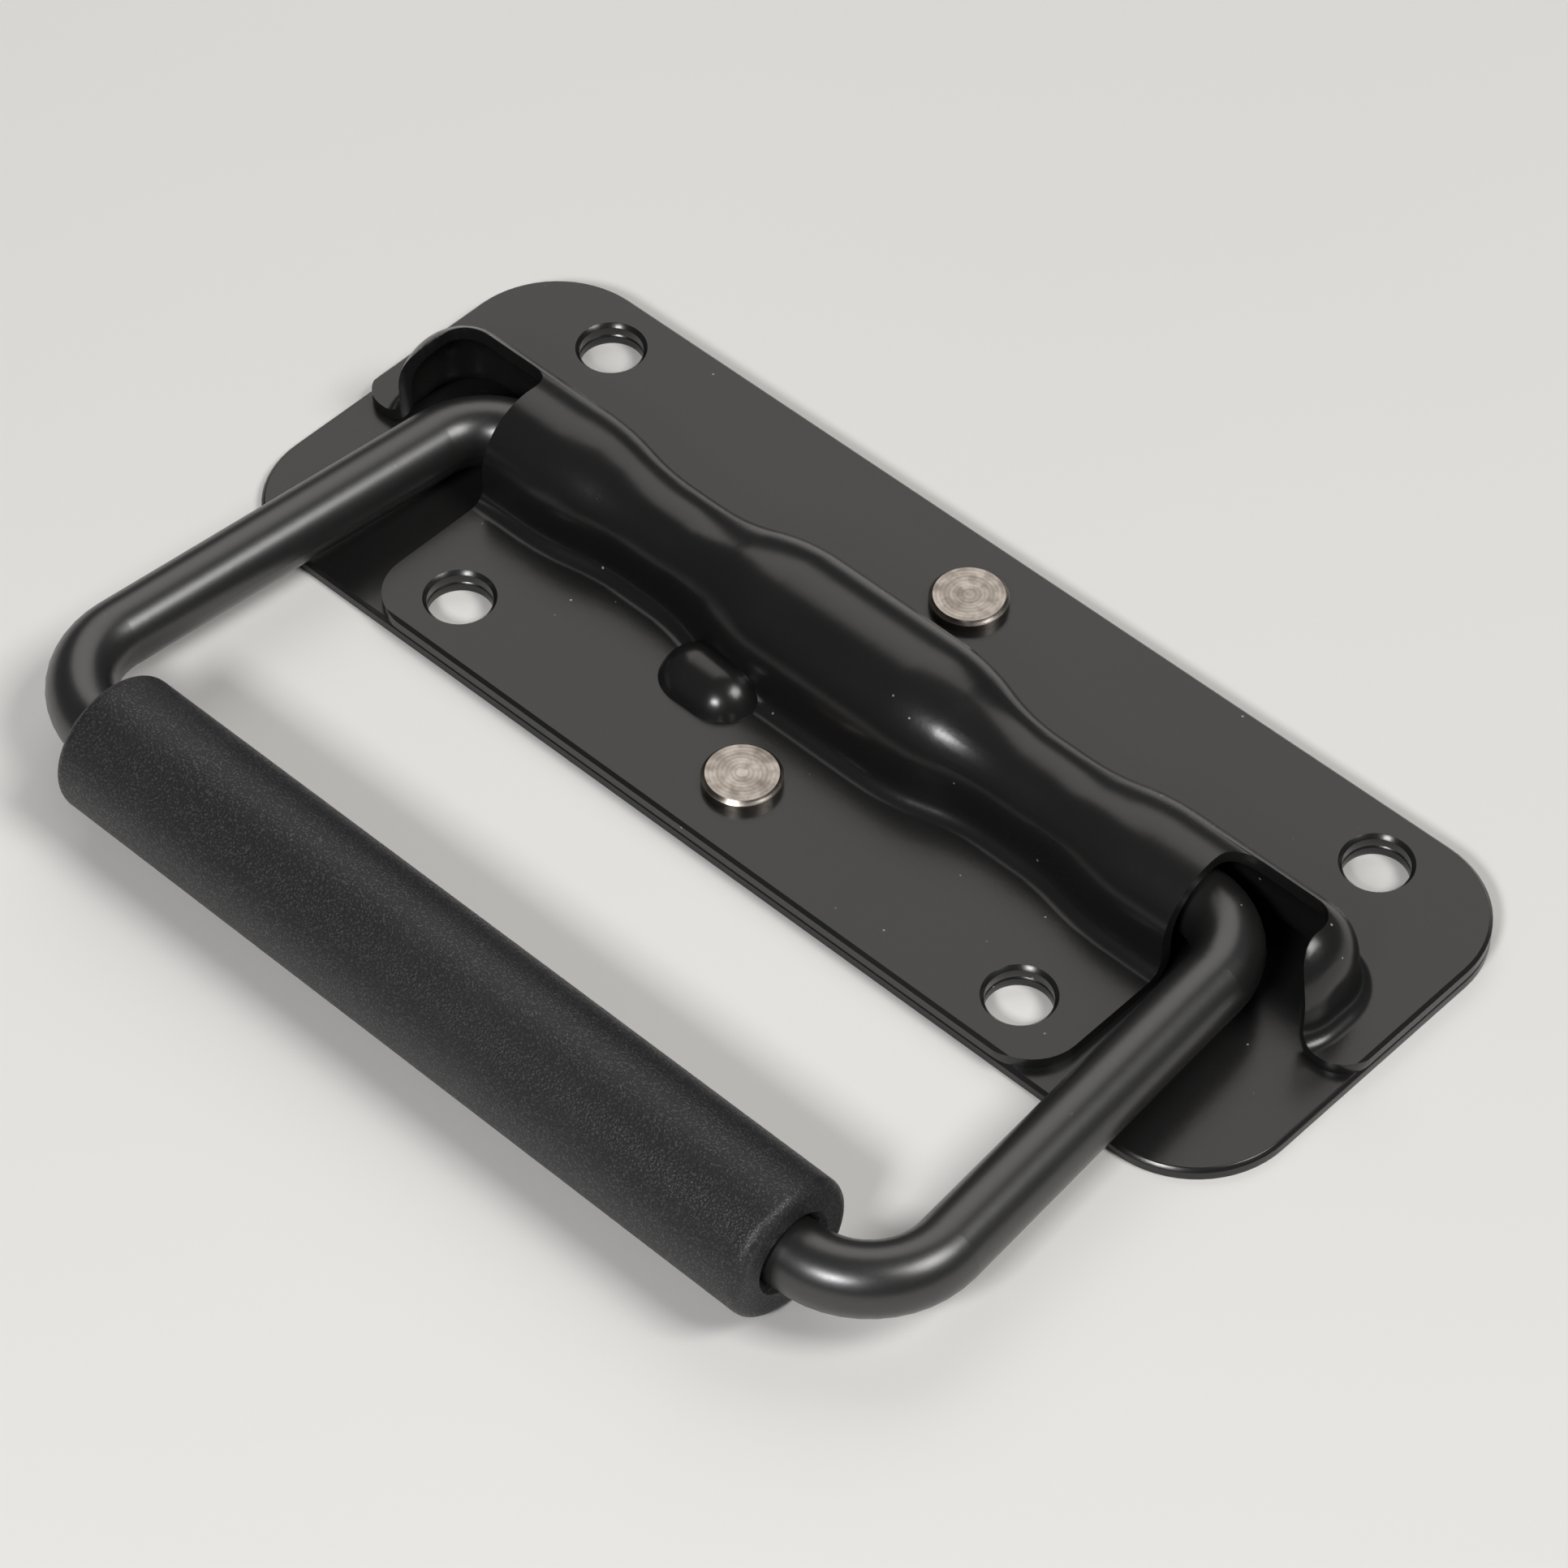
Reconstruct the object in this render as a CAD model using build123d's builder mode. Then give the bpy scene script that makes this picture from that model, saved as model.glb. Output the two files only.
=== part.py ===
from build123d import *
import math
import os

# Surface-mounted folding case handle: a flat base sheet and a pressed cover sheet
# riveted together, and a spring-loaded wire bail that turns in the cover's barrel.
#
# Frame: origin at the middle of the base sheet's back face, +X along the plate,
# +Y away from the folded bail, +Z out of the surface the handle is screwed to.
# Millimetres. The bail lies folded, with its grip down on the mounting surface.

# ---------------------------------------------------------------- plate sheets
plate_length = 130.0
plate_width = 48.0
plate_corner_radius = 10.8
base_thickness = 1.3
cover_thickness = 1.3
edge_break = 0.35             # broken top edge of each blanked sheet

# ---------------------------------------------------------------- fixing holes
screw_hole_diameter = 6.6
back_hole_end_margin = 14.5   # rear holes, in from the plate's ends
front_hole_notch_margin = 7.7  # front holes, in from the arm notches
hole_row_margin = 6.4         # both rows, in from the plate's long edges
rivet_margin = 7.9
hole_rim_break = 0.4
rivet_shank_diameter = 5.0
rivet_head_diameter = 8.0
rivet_head_height = 1.3
rivet_head_edge = 0.4
rivet_tail_sink = 0.6         # depth of the countersink that the closed tail fills
rivet_fit_gap = 0.05

# ---------------------------------------------------------------- wire bail
rod_diameter = 7.0
bail_reach = 56.3             # hinge axis to the crossbar's axis
arm_notch_offset = 0.35       # arm root's axis, inward of its notch's middle
arm_splay = 4.5               # each arm leans out this far along its length
root_bend_radius = 7.5
bar_bend_radius = 9.0
rod_tip_half_gap = 3.0        # hinge ends stop this far from the middle
rod_tip_chamfer = 0.6

# ---------------------------------------------------------------- grip sleeve
grip_diameter = 14.6
grip_end_margin = 10.3        # grip's end, inward of the arm's axis
grip_edge_radius = 1.2
grip_bore_gap = 0.08          # radial running gap on the crossbar
grip_bore_flare = 0.8
grip_floor_gap = 0.05         # folded grip to the mounting surface

# ---------------------------------------------------------------- cover barrel
neck_gap = 0.5                # cover neck to the rod that turns in it
middle_radius = 7.5
end_radius = 6.7
middle_flat_half = 8.0        # the wide middle runs this far each way
neck_inner_end = 22.0
end_wall_margin = 5.0         # barrel's closed end, in from the plate's end
end_round = 5.6               # rounding of the closed end
end_section_length = 21.5     # full-width end section, closed end included
end_taper_length = 12.5
foot_fillet = 1.8             # outside bend between barrel wall and flange

# ---------------------------------------------------------------- arm notches
notch_wall_margin = 3.2       # notch's outer side to the barrel's closed end
notch_length = 12.3
notch_rod_gap = 0.35          # notch's back edge to the rod when the bail stands up
notch_side_y = -4.3
notch_back_radius = 3.1
notch_side_radius = 4.4
flange_corner_radius = 5.5
side_lip_radius = 3.4

# ---------------------------------------------------------------- spring
spring_wire = 0.9             # side of the square wire
spring_rod_gap = 0.25         # coil to the rod tip that it is wound round
spring_floor_gap = 0.35       # coil to the base sheet under it
spring_turns = 4
spring_pitch = 1.35
spring_leg_end = 11.0         # fixed leg's end, forward of the hinge line
spring_hook_depth = 1.5       # moving end, let into a cross hole in the rod tip
spring_hook_gap = 0.15

# ---------------------------------------------------------------- spring pip
pip_x = -10.9
pip_y = -9.0
pip_length = 11.6
pip_radius = 4.3              # outside radius of the pressed pip
pip_leg_gap = 0.6             # passage round the spring's fixed leg

rod_radius = rod_diameter / 2
grip_radius = grip_diameter / 2
rivet_radius = rivet_shank_diameter / 2
flange_top = base_thickness + cover_thickness
neck_radius = rod_radius + neck_gap + cover_thickness
spring_coil_radius = rod_radius + spring_rod_gap + spring_wire / 2
spring_outer_radius = spring_coil_radius + spring_wire / 2
hinge_height = base_thickness + spring_floor_gap + spring_outer_radius

end_wall_x = plate_length / 2 - end_wall_margin
end_section_start = end_wall_x - end_section_length
neck_outer_end = end_section_start - end_taper_length
notch_outer_x = end_wall_x - notch_wall_margin
notch_inner_x = notch_outer_x - notch_length
notch_back_y = rod_radius + notch_rod_gap

bail_root_half_width = (notch_inner_x + notch_outer_x) / 2 - arm_notch_offset
bail_bar_half_width = bail_root_half_width + arm_splay
grip_length = 2 * (bail_bar_half_width - grip_end_margin)
rest_angle = math.degrees(math.asin((grip_radius + grip_floor_gap - hinge_height) / bail_reach))

spring_corner = spring_wire * math.sqrt(2) / 2
spring_leg_height = base_thickness + spring_floor_gap + spring_wire / 2
spring_hook_x = pip_x + spring_turns * spring_pitch

back_hole_x = plate_length / 2 - back_hole_end_margin
front_hole_x = notch_inner_x - front_hole_notch_margin
hole_row_y = plate_width / 2 - hole_row_margin
rivet_y = plate_width / 2 - rivet_margin
screw_places = [(-back_hole_x, hole_row_y), (back_hole_x, hole_row_y)]
screw_places += [(-front_hole_x, -hole_row_y), (front_hole_x, -hole_row_y)]
rivet_places = {"front_rivet": (0, -rivet_y), "rear_rivet": (0, rivet_y)}

os.makedirs("parts", exist_ok=True)


def save(name, part):
    part.label = name
    export_step(part, f"parts/{name}.step")


def barrel_half(inset):
    """Half of the barrel's long outline, on one side of the hinge line, shrunk by inset."""
    middle = middle_radius - inset
    neck = neck_radius - inset
    end = end_radius - inset
    corner = end_round - inset
    inner_bend = ((middle_flat_half + neck_inner_end) / 2, (middle + neck) / 2)
    outer_bend = ((neck_outer_end + end_section_start) / 2, (neck + end) / 2)
    wall_x = end_wall_x - inset
    with BuildSketch() as half:
        with BuildLine():
            Line((0, 0), (0, middle))
            Line((0, middle), (middle_flat_half, middle))
            falling = TangentArc((middle_flat_half, middle), inner_bend, tangent=(1, 0))
            TangentArc(inner_bend, (neck_inner_end, neck), tangent=falling % 1)
            Line((neck_inner_end, neck), (neck_outer_end, neck))
            rising = TangentArc((neck_outer_end, neck), outer_bend, tangent=(1, 0))
            TangentArc(outer_bend, (end_section_start, end), tangent=rising % 1)
            Line((end_section_start, end), (wall_x - corner, end))
            CenterArc((wall_x - corner, end - corner), corner, 90, -90)
            Line((wall_x, end - corner), (wall_x, 0))
            Line((wall_x, 0), (0, 0))
        make_face()
        mirror(about=Plane.YZ)
    return half.sketch


def barrel_plan(inset):
    """The barrel's whole outline seen from above."""
    half = barrel_half(inset)
    with BuildSketch() as plan:
        add(half)
        mirror(about=Plane.XZ)
    return plan.sketch


def near(value, target):
    """True where two lengths agree to a hundredth of a millimetre."""
    return abs(value - target) < 0.01


def on_barrel_foot(point):
    """True for a point well inside the plate's outline."""
    return abs(point.Y) < middle_radius + foot_fillet and abs(point.X) < end_wall_x + foot_fillet


hinge_axis = Axis((0, 0, hinge_height), (1, 0, 0))
outer_half = barrel_half(0)
outer_plan = barrel_plan(0)
inner_half = barrel_half(cover_thickness)
inner_plan = barrel_plan(cover_thickness)

# ================================================================ base plate
# Flat blanked sheet, full size, with clear holes for the screws and countersinks
# on its back for the closed rivet tails.
with BuildPart() as base_plate:
    with BuildSketch(Plane.XY):
        RectangleRounded(plate_length, plate_width, plate_corner_radius)
    extrude(amount=base_thickness)
    chamfer(base_plate.edges().group_by(Axis.Z)[-1], edge_break)
    with BuildSketch(Plane.XY):
        with Locations(*screw_places):
            Circle(screw_hole_diameter / 2)
        with Locations(*rivet_places.values()):
            Circle(rivet_radius)
    extrude(amount=base_thickness, mode=Mode.SUBTRACT)
    top_rims = base_plate.edges().filter_by(GeomType.CIRCLE).group_by(Axis.Z)[-1]
    chamfer(top_rims.filter_by(lambda rim: near(rim.radius, screw_hole_diameter / 2)), edge_break)
    back_rims = base_plate.edges().filter_by(GeomType.CIRCLE).group_by(Axis.Z)[0]
    chamfer(back_rims.filter_by(lambda rim: near(rim.radius, rivet_radius)), rivet_tail_sink)
save("base_plate", base_plate.part)

# ================================================================ cover plate
# One pressed sheet: flange all round, ball-ended barrel over the hinge line with
# two necks that carry the rod, and a notch in each front corner for the arms.
with BuildPart() as cover_plate:
    with BuildSketch(Plane.XY.offset(base_thickness)):
        RectangleRounded(plate_length, plate_width, plate_corner_radius)
    extrude(amount=cover_thickness)
    chamfer(cover_plate.edges().group_by(Axis.Z)[-1], edge_break)
    with BuildSketch(Plane.XY.offset(base_thickness)):
        with Locations(*screw_places):
            Circle(screw_hole_diameter / 2)
        with Locations(*rivet_places.values()):
            Circle(rivet_radius)
    extrude(amount=cover_thickness, mode=Mode.SUBTRACT)
    top_rims = cover_plate.edges().filter_by(GeomType.CIRCLE).group_by(Axis.Z)[-1]
    chamfer(top_rims.filter_by(lambda rim: near(rim.radius, screw_hole_diameter / 2)), hole_rim_break)
    with BuildSketch(Plane.XY.offset(base_thickness)):
        add(outer_plan)
    extrude(amount=hinge_height - base_thickness)
    with BuildSketch(Plane.XY.offset(hinge_height)):
        add(outer_half)
    revolve(axis=hinge_axis, revolution_arc=180)
    foot_rims = cover_plate.edges().filter_by_position(Axis.Z, flange_top, flange_top)
    foot_rims = foot_rims.filter_by(lambda rim: on_barrel_foot(rim.center()))
    fillet(foot_rims, foot_fillet)
    # hollow underside
    with BuildSketch(Plane.XY.offset(base_thickness)):
        add(inner_plan)
    extrude(amount=hinge_height - base_thickness, mode=Mode.SUBTRACT)
    with BuildSketch(Plane.XY.offset(hinge_height)):
        add(inner_half)
    revolve(axis=hinge_axis, revolution_arc=180, mode=Mode.SUBTRACT)
    mouth_rims = cover_plate.edges().filter_by_position(Axis.Z, base_thickness, base_thickness)
    mouth_rims = mouth_rims.filter_by(lambda rim: on_barrel_foot(rim.center()))
    fillet(mouth_rims, foot_fillet + cover_thickness)
    # arm notches, open to the plate's front and side edges
    with BuildSketch(Plane.XY.offset(base_thickness)):
        with BuildLine():
            notch = FilletPolyline(
                (notch_inner_x, -plate_width),
                (notch_inner_x, notch_back_y),
                (notch_outer_x, notch_back_y),
                (notch_outer_x, notch_side_y),
                (plate_length, notch_side_y),
                radius=[notch_back_radius, notch_back_radius, notch_side_radius],
            )
            Polyline(notch @ 1, (plate_length, -plate_width), notch @ 0)
        make_face()
        lip_centre = (plate_length / 2 - side_lip_radius, notch_side_y + side_lip_radius)
        with Locations(lip_centre):
            Rectangle(2 * side_lip_radius, 2 * side_lip_radius, align=(Align.MIN, Align.MAX))
            Circle(side_lip_radius, mode=Mode.SUBTRACT)
        mirror(about=Plane.YZ)
    extrude(amount=2 * hinge_height, mode=Mode.SUBTRACT)
    uprights = cover_plate.edges().filter_by(Axis.Z)
    flange_corners = uprights.filter_by(lambda edge: near(edge.center().Y, -plate_width / 2))
    fillet(flange_corners, flange_corner_radius)
    # pip pressed up at the barrel's front foot, hollow below for the spring's leg
    pip_half = pip_length / 2 - pip_radius
    with Locations(Location((pip_x, pip_y, base_thickness), (0, 90, 0))):
        Cylinder(pip_radius, 2 * pip_half)
    with Locations((pip_x - pip_half, pip_y, base_thickness), (pip_x + pip_half, pip_y, base_thickness)):
        Sphere(pip_radius)
    with Locations(Location((pip_x, pip_y, base_thickness), (0, 90, 0))):
        Cylinder(pip_radius - cover_thickness, 2 * pip_half, mode=Mode.SUBTRACT)
    with Locations((pip_x - pip_half, pip_y, base_thickness), (pip_x + pip_half, pip_y, base_thickness)):
        Sphere(pip_radius - cover_thickness, mode=Mode.SUBTRACT)
    with Locations(Location((pip_x, 0, spring_leg_height), (90, 0, 0))):
        Cylinder(
            spring_corner + pip_leg_gap,
            spring_leg_end + pip_leg_gap,
            align=(Align.CENTER, Align.CENTER, Align.MIN),
            mode=Mode.SUBTRACT,
        )
    with Locations((0, 0, base_thickness)):
        Box(
            plate_length,
            plate_width,
            pip_radius,
            align=(Align.CENTER, Align.CENTER, Align.MAX),
            mode=Mode.SUBTRACT,
        )
save("cover_plate", cover_plate.part)

# ================================================================ rivets
# Bare steel: low round head on the cover, shank through both sheets, tail closed
# flush into the base sheet's countersink.
for name, place in rivet_places.items():
    with BuildPart() as rivet:
        with BuildSketch(Plane.XY.offset(flange_top)):
            with Locations(place):
                Circle(rivet_head_diameter / 2)
        extrude(amount=rivet_head_height)
        chamfer(rivet.edges().group_by(Axis.Z)[-1], rivet_head_edge)
        with BuildSketch(Plane.XY):
            with Locations(place):
                Circle(rivet_radius - rivet_fit_gap)
        extrude(amount=flange_top)
        with Locations(place):
            Cone(
                rivet_radius + rivet_tail_sink - rivet_fit_gap,
                rivet_radius - rivet_fit_gap,
                rivet_tail_sink,
                align=(Align.CENTER, Align.CENTER, Align.MIN),
            )
    save(name, rivet.part)

# ================================================================ bail rod
# One round bar: two hinge ends in the cover's necks, two arms, one crossbar. The
# whole wire lies in one plane through the hinge line, tipped to rest_angle.
bail_plane = Plane((0, 0, hinge_height), x_dir=(1, 0, 0), z_dir=(0, 0, 1)).rotated((-rest_angle, 0, 0))
with BuildPart() as bail_rod:
    with BuildLine(bail_plane) as wire:
        FilletPolyline(
            (-rod_tip_half_gap, 0),
            (-bail_root_half_width, 0),
            (-bail_bar_half_width, -bail_reach),
            (bail_bar_half_width, -bail_reach),
            (bail_root_half_width, 0),
            (rod_tip_half_gap, 0),
            radius=[root_bend_radius, bar_bend_radius, bar_bend_radius, root_bend_radius],
        )
    with BuildSketch(Plane(wire.line @ 0, z_dir=wire.line % 0)):
        Circle(rod_radius)
    sweep()
    tips = bail_rod.faces().filter_by(GeomType.PLANE).edges()
    chamfer(tips, rod_tip_chamfer)
    # cross hole for the spring's moving end
    with Locations((spring_hook_x, spring_wire, hinge_height - rod_radius)):
        Cylinder(
            spring_corner + spring_hook_gap,
            2 * (spring_hook_depth + spring_hook_gap),
            mode=Mode.SUBTRACT,
        )
save("bail_rod", bail_rod.part)

# ================================================================ grip sleeve
# Thick moulded sleeve that turns on the crossbar.
bar_middle = bail_plane.from_local_coords((0, -bail_reach, 0))
with BuildPart() as grip_sleeve:
    with BuildSketch(Plane(bar_middle, x_dir=(0, 1, 0), z_dir=(1, 0, 0))):
        Circle(grip_radius)
        Circle(rod_radius + grip_bore_gap, mode=Mode.SUBTRACT)
    extrude(amount=grip_length / 2, both=True)
    end_rims = grip_sleeve.edges().filter_by(GeomType.CIRCLE)
    outer_rims = end_rims.filter_by(lambda rim: near(rim.radius, grip_radius))
    bore_rims = end_rims.filter_by(lambda rim: near(rim.radius, rod_radius + grip_bore_gap))
    fillet(outer_rims, grip_edge_radius)
    chamfer(bore_rims, grip_bore_flare)
save("grip_sleeve", grip_sleeve.part)

# ================================================================ return spring
# Torsion coil round the left rod tip. Its fixed leg runs forward into the pip and
# its other end turns down into the rod's cross hole.
with BuildPart() as return_spring:
    with BuildLine() as spring_line:
        coil = Helix(
            pitch=spring_pitch,
            height=spring_pitch * spring_turns,
            radius=spring_coil_radius,
            center=(pip_x, 0, hinge_height),
            direction=(1, 0, 0),
        )
        # drawn with its ends at the top, then turned over about the hinge line
        leg_start = coil @ 0 - (coil % 0) * spring_leg_end
        Line(leg_start, coil @ 0)
        inward = Vector(0, 0, -1)
        hook_centre = coil @ 1 + inward * spring_wire
        hook_side = hook_centre + (coil % 1) * spring_wire
        hook_middle = hook_centre + ((coil % 1) - inward).normalized() * spring_wire
        ThreePointArc(coil @ 1, hook_middle, hook_side)
        hook_tip = Vector(hook_side.X, hook_side.Y, hinge_height + rod_radius - spring_hook_depth)
        Line(hook_side, hook_tip)
    with BuildSketch(Plane(leg_start, x_dir=(1, 0, 0), z_dir=coil % 0)):
        Rectangle(spring_wire, spring_wire)
    sweep()
return_spring.part = return_spring.part.rotate(hinge_axis, 180)
save("return_spring", return_spring.part)
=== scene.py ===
"""Studio scene of a folding case handle: a finish for every piece, soft light, a pale floor."""

import bmesh
import bpy
from mathutils import Matrix, Vector


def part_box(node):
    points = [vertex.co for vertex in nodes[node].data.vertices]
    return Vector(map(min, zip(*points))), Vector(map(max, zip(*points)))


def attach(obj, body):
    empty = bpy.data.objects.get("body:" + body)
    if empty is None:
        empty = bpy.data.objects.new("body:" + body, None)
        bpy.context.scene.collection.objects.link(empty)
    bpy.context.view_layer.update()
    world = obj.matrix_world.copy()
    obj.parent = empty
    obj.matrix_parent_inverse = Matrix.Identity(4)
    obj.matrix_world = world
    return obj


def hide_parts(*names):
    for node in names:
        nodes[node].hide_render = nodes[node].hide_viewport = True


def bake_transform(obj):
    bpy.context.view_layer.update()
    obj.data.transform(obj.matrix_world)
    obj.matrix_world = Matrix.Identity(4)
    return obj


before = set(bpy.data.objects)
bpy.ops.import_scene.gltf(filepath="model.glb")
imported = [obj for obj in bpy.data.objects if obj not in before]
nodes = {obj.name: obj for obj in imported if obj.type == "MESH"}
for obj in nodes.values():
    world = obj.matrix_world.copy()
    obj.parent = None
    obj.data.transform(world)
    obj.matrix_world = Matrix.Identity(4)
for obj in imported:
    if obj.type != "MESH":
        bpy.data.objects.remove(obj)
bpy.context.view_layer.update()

# ------------------------------------------------------------------ base plate and cover plate
# Two pressed mild steel sheets with a smooth sprayed black coat, semi-gloss, with a
# faint orange peel. Pressing rolls their cut edges over, so every edge carries a fine
# line of light. A few grains of dust lie on the coat.


class Value:
    """A socket of a shader, used in plain arithmetic: each operator adds a Math node."""

    def __init__(self, tree, socket):
        self.tree = tree
        self.socket = socket

    @classmethod
    def node(cls, tree, kind, inputs, settings=None, output=0):
        """Adds one node; its inputs are numbers, colours, vectors or other values."""
        made = tree.nodes.new(kind)
        for name, setting in (settings or {}).items():
            setattr(made, name, setting)
        for name, given in inputs.items():
            if isinstance(given, Value):
                tree.links.new(given.socket, made.inputs[name])
            else:
                made.inputs[name].default_value = given
        return cls(tree, made.outputs[output])

    def maths(self, operation, first, second):
        pair = {0: first, 1: second}
        return Value.node(self.tree, "ShaderNodeMath", pair, {"operation": operation})

    def __add__(self, other):
        return self.maths("ADD", self, other)

    def __radd__(self, other):
        return self.maths("ADD", other, self)

    def __sub__(self, other):
        return self.maths("SUBTRACT", self, other)

    def __rsub__(self, other):
        return self.maths("SUBTRACT", other, self)

    def __mul__(self, other):
        return self.maths("MULTIPLY", self, other)

    def __rmul__(self, other):
        return self.maths("MULTIPLY", other, self)

    def wave(self):
        return self.maths("SINE", self, 0.0)

    def between(self, low, high):
        """0 below low and 1 above high, smooth between them."""
        span = {"Value": self, "From Min": low, "From Max": high}
        smooth = {"interpolation_type": "SMOOTHSTEP"}
        return Value.node(self.tree, "ShaderNodeMapRange", span, smooth)

    def colour(self, first, second):
        """A colour that runs from first to second as this value runs from 0 to 1."""
        mixed = {0: self, 6: first, 7: second}
        as_colours = {"data_type": "RGBA"}
        return Value.node(self.tree, "ShaderNodeMix", mixed, as_colours, output=2)

    def feed(self, socket):
        self.tree.links.new(self.socket, socket)


def start_material(name):
    """A new material: the material, its tree, its shader's sockets and a place on the piece."""
    material = bpy.data.materials.new(name)
    material.use_nodes = True
    tree = material.node_tree
    sockets = tree.nodes["Principled BSDF"].inputs
    place = Value.node(tree, "ShaderNodeTexCoord", {}, output="Object")
    return material, tree, sockets, place


def noise(tree, place, scale, detail=2.0):
    settings = {"Vector": place, "Scale": scale, "Detail": detail}
    return Value.node(tree, "ShaderNodeTexNoise", settings)


def cells(tree, place, scale):
    """Distance to the nearest of many scattered points."""
    settings = {"Vector": place, "Scale": scale}
    return Value.node(tree, "ShaderNodeTexVoronoi", settings, output="Distance")


def relief(tree, sockets, height, strength, depth):
    """Fine unevenness of a surface, depth metres from its lowest to its highest places."""
    bump = {"Height": height, "Strength": strength, "Distance": depth}
    Value.node(tree, "ShaderNodeBump", bump).feed(sockets["Normal"])


def black_coat(name, tone, gloss_loss, peel_height, dust):
    """Sprayed black coat: dark and slightly uneven, with fine peel and scattered dust grains."""
    material, tree, sockets, place = start_material(name)
    cloud = noise(tree, place, 48, 3)
    peel = noise(tree, place, 620)
    grit = noise(tree, place, 3400, 1)
    fall = noise(tree, place, 75, 1).between(0.47, 0.57)
    grain = (1 - cells(tree, place, 330).between(0.030, 0.055)) * fall * dust
    thin_coat = (tone * 0.9, tone * 0.88, tone * 0.87, 1)
    thick_coat = (tone * 1.15, tone * 1.1, tone * 1.08, 1)
    dust_grey = (0.34, 0.32, 0.30, 1)
    coat = cloud.between(0.3, 0.7).colour(thin_coat, thick_coat)
    grain.colour(coat, dust_grey).feed(sockets["Base Color"])
    (cloud * 0.07 + grit * 0.05 + grain * 0.3 + (gloss_loss - 0.06)).feed(sockets["Roughness"])
    relief(tree, sockets, peel + grit * 0.25 + grain * 2, peel_height, 0.00003)
    return material


def finish(mesh, material):
    """Gives a mesh one finish all over."""
    mesh.materials.clear()
    mesh.materials.append(material)


def put_in_scene(name, data):
    made = bpy.data.objects.new(name, data)
    bpy.context.scene.collection.objects.link(made)
    return made


def merged_copy(node, name, flat_angle=None):
    """A copy of a part with its loose triangles joined and, if asked, its flats made whole."""
    mesh = nodes[node].data.copy()
    mesh.name = name
    form = bmesh.new()
    form.from_mesh(mesh)
    bmesh.ops.remove_doubles(form, verts=form.verts, dist=merge_distance)
    if flat_angle:
        bmesh.ops.dissolve_limit(
            form, angle_limit=flat_angle, verts=form.verts, edges=form.edges
        )
    form.to_mesh(mesh)
    form.free()
    return mesh


def rolled_sheet(node, roll):
    """A pressed sheet with its cut edges rolled over."""
    mesh = merged_copy(node, node + "_rolled", flat_angle=0.002)
    mesh.shade_smooth()
    piece = put_in_scene(node + "_rolled", mesh)
    edge = piece.modifiers.new("rolled_edges", "BEVEL")
    edge.limit_method = "ANGLE"
    edge.angle_limit = cut_edge_angle
    edge.width = roll
    edge.segments = 3
    edge.use_clamp_overlap = True
    even = piece.modifiers.new("even_faces", "WEIGHTED_NORMAL")
    even.weight = largest_faces_lead
    return piece


coat_tone = 0.010
edge_roll = 0.00036
merge_distance = 2e-6
cut_edge_angle = 0.61
largest_faces_lead = 100
sheet_black = black_coat("sheet_black", coat_tone, gloss_loss=0.25, peel_height=0.35, dust=0.9)
for name in ("base_plate", "cover_plate"):
    sheet = rolled_sheet(name, edge_roll)
    finish(sheet.data, sheet_black)
    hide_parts(name)
    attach(sheet, "plate")

# ------------------------------------------------------------------ rivets
# Two bare steel rivets join the sheets. Their heads were faced on a lathe, which left
# fine rings round the middle and a warm grey sheen.


def turned_steel(name, centre):
    """Steel faced on a lathe: rings round the head's centre, with a brownish stain."""
    material, tree, sockets, place = start_material(name)
    kind = "ShaderNodeVectorMath"
    offset = Value.node(tree, kind, {0: place, 1: centre}, {"operation": "SUBTRACT"})
    level = Value.node(tree, kind, {0: offset, 1: (1, 1, 0)}, {"operation": "MULTIPLY"})
    reach = Value.node(tree, kind, {0: level}, {"operation": "LENGTH"}, output="Value")
    wobble = noise(tree, place, 420, 3)
    fine_rings = (reach * 14500 + wobble * 2.6).wave()
    wide_rings = (reach * 4300 + wobble * 2).wave()
    rings = fine_rings * 0.5 + wide_rings * 0.5
    stain = noise(tree, place, 900, 4).between(0.35, 0.75)
    groove_steel, ridge_steel = (0.24, 0.215, 0.19, 1), (0.50, 0.455, 0.41, 1)
    stain_brown = (0.20, 0.17, 0.145, 1)
    bright = (rings * 0.22 + wobble).between(0.15, 0.85).colour(groove_steel, ridge_steel)
    (stain * 0.5).colour(bright, stain_brown).feed(sockets["Base Color"])
    (rings * 0.05 + stain * 0.14 + 0.30).feed(sockets["Roughness"])
    relief(tree, sockets, rings + wobble * 0.6, 0.35, 0.00003)
    sockets["Metallic"].default_value = 1.0
    return material


for name in ("front_rivet", "rear_rivet"):
    low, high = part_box(name)
    finish(nodes[name].data, turned_steel(name + "_steel", (low + high) / 2))

# ------------------------------------------------------------------ return spring
# Torsion coil of drawn square wire round the left rod tip, bright where the die
# drew it. On the real handle its leg stays with the cover and its hook turns with the
# rod, so the coil winds up between them; here the coil is one fixed piece.


def drawn_wire(name):
    material, tree, sockets, place = start_material(name)
    streak = noise(tree, place, 1500)
    dark_wire, bright_wire = (0.18, 0.18, 0.19, 1), (0.42, 0.42, 0.43, 1)
    streak.colour(dark_wire, bright_wire).feed(sockets["Base Color"])
    (streak * 0.2 + 0.28).feed(sockets["Roughness"])
    sockets["Metallic"].default_value = 1.0
    return material


spring_coil = put_in_scene("spring_coil", merged_copy("return_spring", "spring_coil"))
finish(spring_coil.data, drawn_wire("spring_wire"))
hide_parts("return_spring")
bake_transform(spring_coil)

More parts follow.
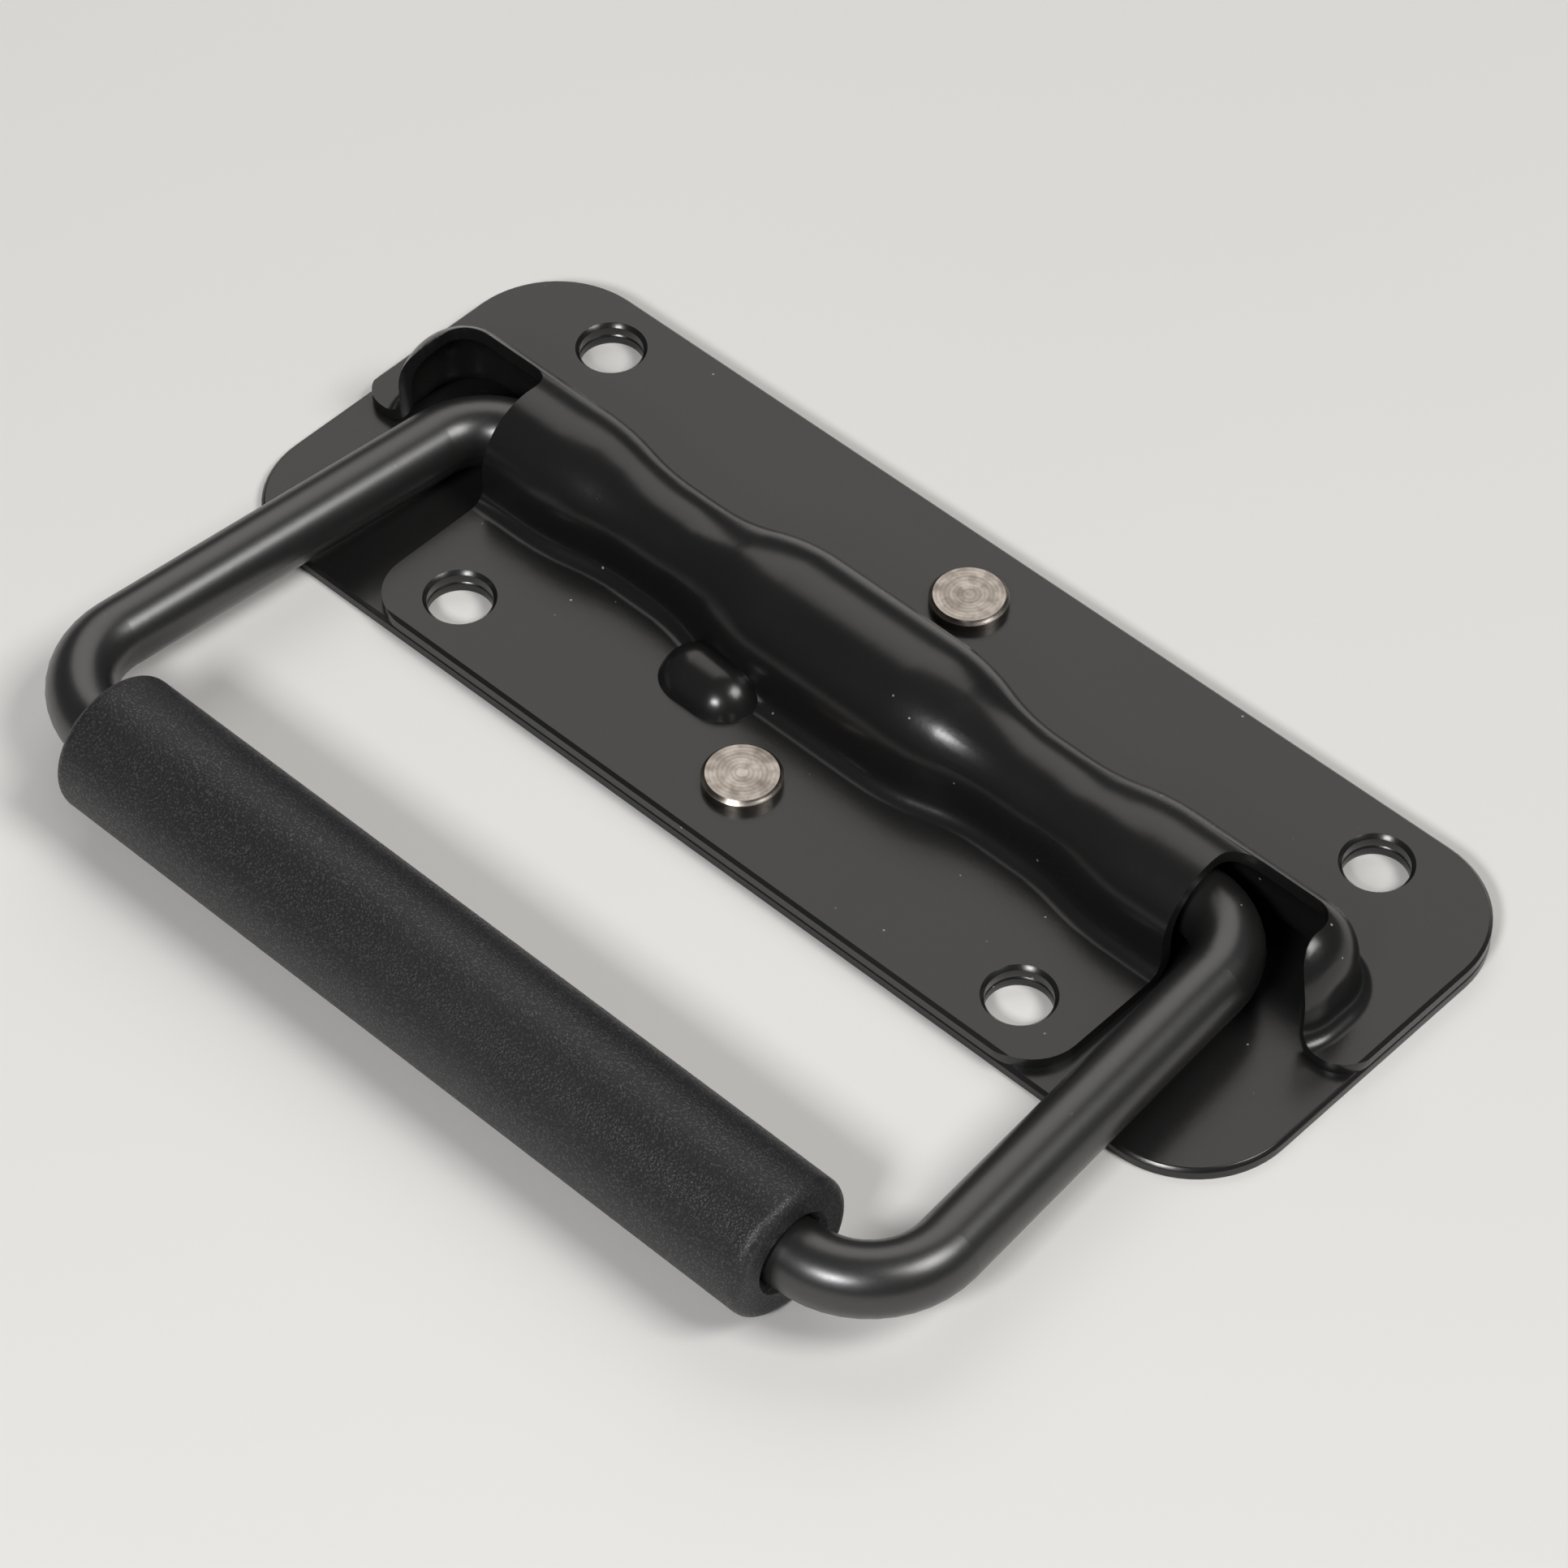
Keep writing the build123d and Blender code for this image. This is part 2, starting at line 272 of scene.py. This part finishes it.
# ------------------------------------------------------------------ bail rod
# Round steel bar bent cold and given the same black coat, but more satin, so long
# soft highlights run along the arms and round the bends.
rod_black = black_coat("rod_black", coat_tone, gloss_loss=0.33, peel_height=0.25, dust=0.6)
rod_shader = rod_black.node_tree.nodes["Principled BSDF"]
rod_shader.inputs["Specular IOR Level"].default_value = 1.0
finish(nodes["bail_rod"].data, rod_black)

# ------------------------------------------------------------------ grip sleeve
# Thick moulded sleeve pushed on the crossbar before it was bent. Fine sandpaper grain
# all over with a soft satin sheen, its pits painted darker as shade and its grain tops
# painted lighter as glints. Dark grey where handling has flattened the grain.


def grained_plastic(name):
    material, tree, sockets, place = start_material(name)
    cloud = noise(tree, place, 60)
    coarse = noise(tree, place, 3600, 2)
    points = 1 - cells(tree, place, 4200)
    rise = coarse * 0.7 + points * 0.6
    painted_pit_shade, painted_grain_glint = (0.008, 0.008, 0.0088, 1), (0.046, 0.046, 0.050, 1)
    worn_grey = (0.024, 0.024, 0.026, 1)
    # Painted shade in the grain's pits and painted glints on its tops: the colour follows the
    # grain's height.
    tone = rise.between(0.66, 0.90).colour(painted_pit_shade, painted_grain_glint)
    worn = cloud.between(0.45, 0.75) * 0.25
    worn.colour(tone, worn_grey).feed(sockets["Base Color"])
    (0.50 - rise.between(0.6, 0.9) * 0.15).feed(sockets["Roughness"])
    relief(tree, sockets, rise, 0.6, 0.0001)
    return material


finish(nodes["grip_sleeve"].data, grained_plastic("grip_plastic"))

# ------------------------------------------------------------------ floor
# Plain matte table top in a warm pale grey, much wider than the view.
floor_half_width = 3.0
floor_mesh = bpy.data.meshes.new("floor")
floor_form = bmesh.new()
bmesh.ops.create_grid(floor_form, x_segments=1, y_segments=1, size=floor_half_width)
floor_form.to_mesh(floor_mesh)
floor_form.free()
floor = put_in_scene("floor", floor_mesh)
floor_paint, floor_tree, floor_sockets, floor_place = start_material("floor_paint")
floor_tone = noise(floor_tree, floor_place, 7)
floor_dark, floor_pale = (0.70, 0.69, 0.675, 1), (0.74, 0.73, 0.715, 1)
floor_tone.colour(floor_dark, floor_pale).feed(floor_sockets["Base Color"])
(floor_tone * 0.1 + 0.75).feed(floor_sockets["Roughness"])
floor_mesh.materials.append(floor_paint)

# ------------------------------------------------------------------ studio light
# A wide soft panel behind the handle gives the flat sheets their grey sheen, a small
# lamp in front puts spots on the barrel's shoulders, and one overhead lifts the floor.


def hang_light(name, place, size, power, colour):
    """A flat lamp at a place, turned to face the handle."""
    lamp = bpy.data.lights.new(name, "AREA")
    lamp.shape = "RECTANGLE"
    lamp.size, lamp.size_y = size
    lamp.energy = power
    lamp.color = colour
    holder = put_in_scene(name, lamp)
    holder.location = place
    holder.rotation_euler = (-Vector(place)).to_track_quat("-Z", "Y").to_euler()


hang_light("back_panel", (-0.75, 0.80, 1.25), (1.5, 1.1), 7.5, (1.0, 0.96, 0.93))
hang_light("front_lamp", (0.22, -0.75, 0.66), (0.24, 0.17), 6.0, (1.0, 1.0, 1.0))
hang_light("overhead", (0.90, 0.30, 1.30), (0.6, 0.6), 14, (1.0, 0.99, 0.97))

studio = bpy.data.worlds.new("studio")
studio.use_nodes = True
studio_air = studio.node_tree.nodes["Background"].inputs
studio_air["Color"].default_value = (0.95, 0.97, 1.0, 1)
studio_air["Strength"].default_value = 0.08
bpy.context.scene.world = studio

# ------------------------------------------------------------------ camera
# Looks down at the handle from its front right, from the height of a standing viewer.
camera_lens = bpy.data.cameras.new("camera")
camera_lens.lens = 135.8
camera_lens.sensor_width = 36
camera_lens.clip_end = 20
camera = put_in_scene("camera", camera_lens)
camera_place = (0.2593, -0.2864, 0.4241)
right = Vector((0.7275, 0.6861, 0.0019))
up = Vector((-0.5140, 0.5431, 0.6639))
facing = Matrix((right, up, right.cross(up))).transposed()
camera.matrix_world = Matrix.Translation(camera_place) @ facing.to_4x4()
bpy.context.scene.camera = camera
bpy.context.scene.view_settings.view_transform = "Standard"
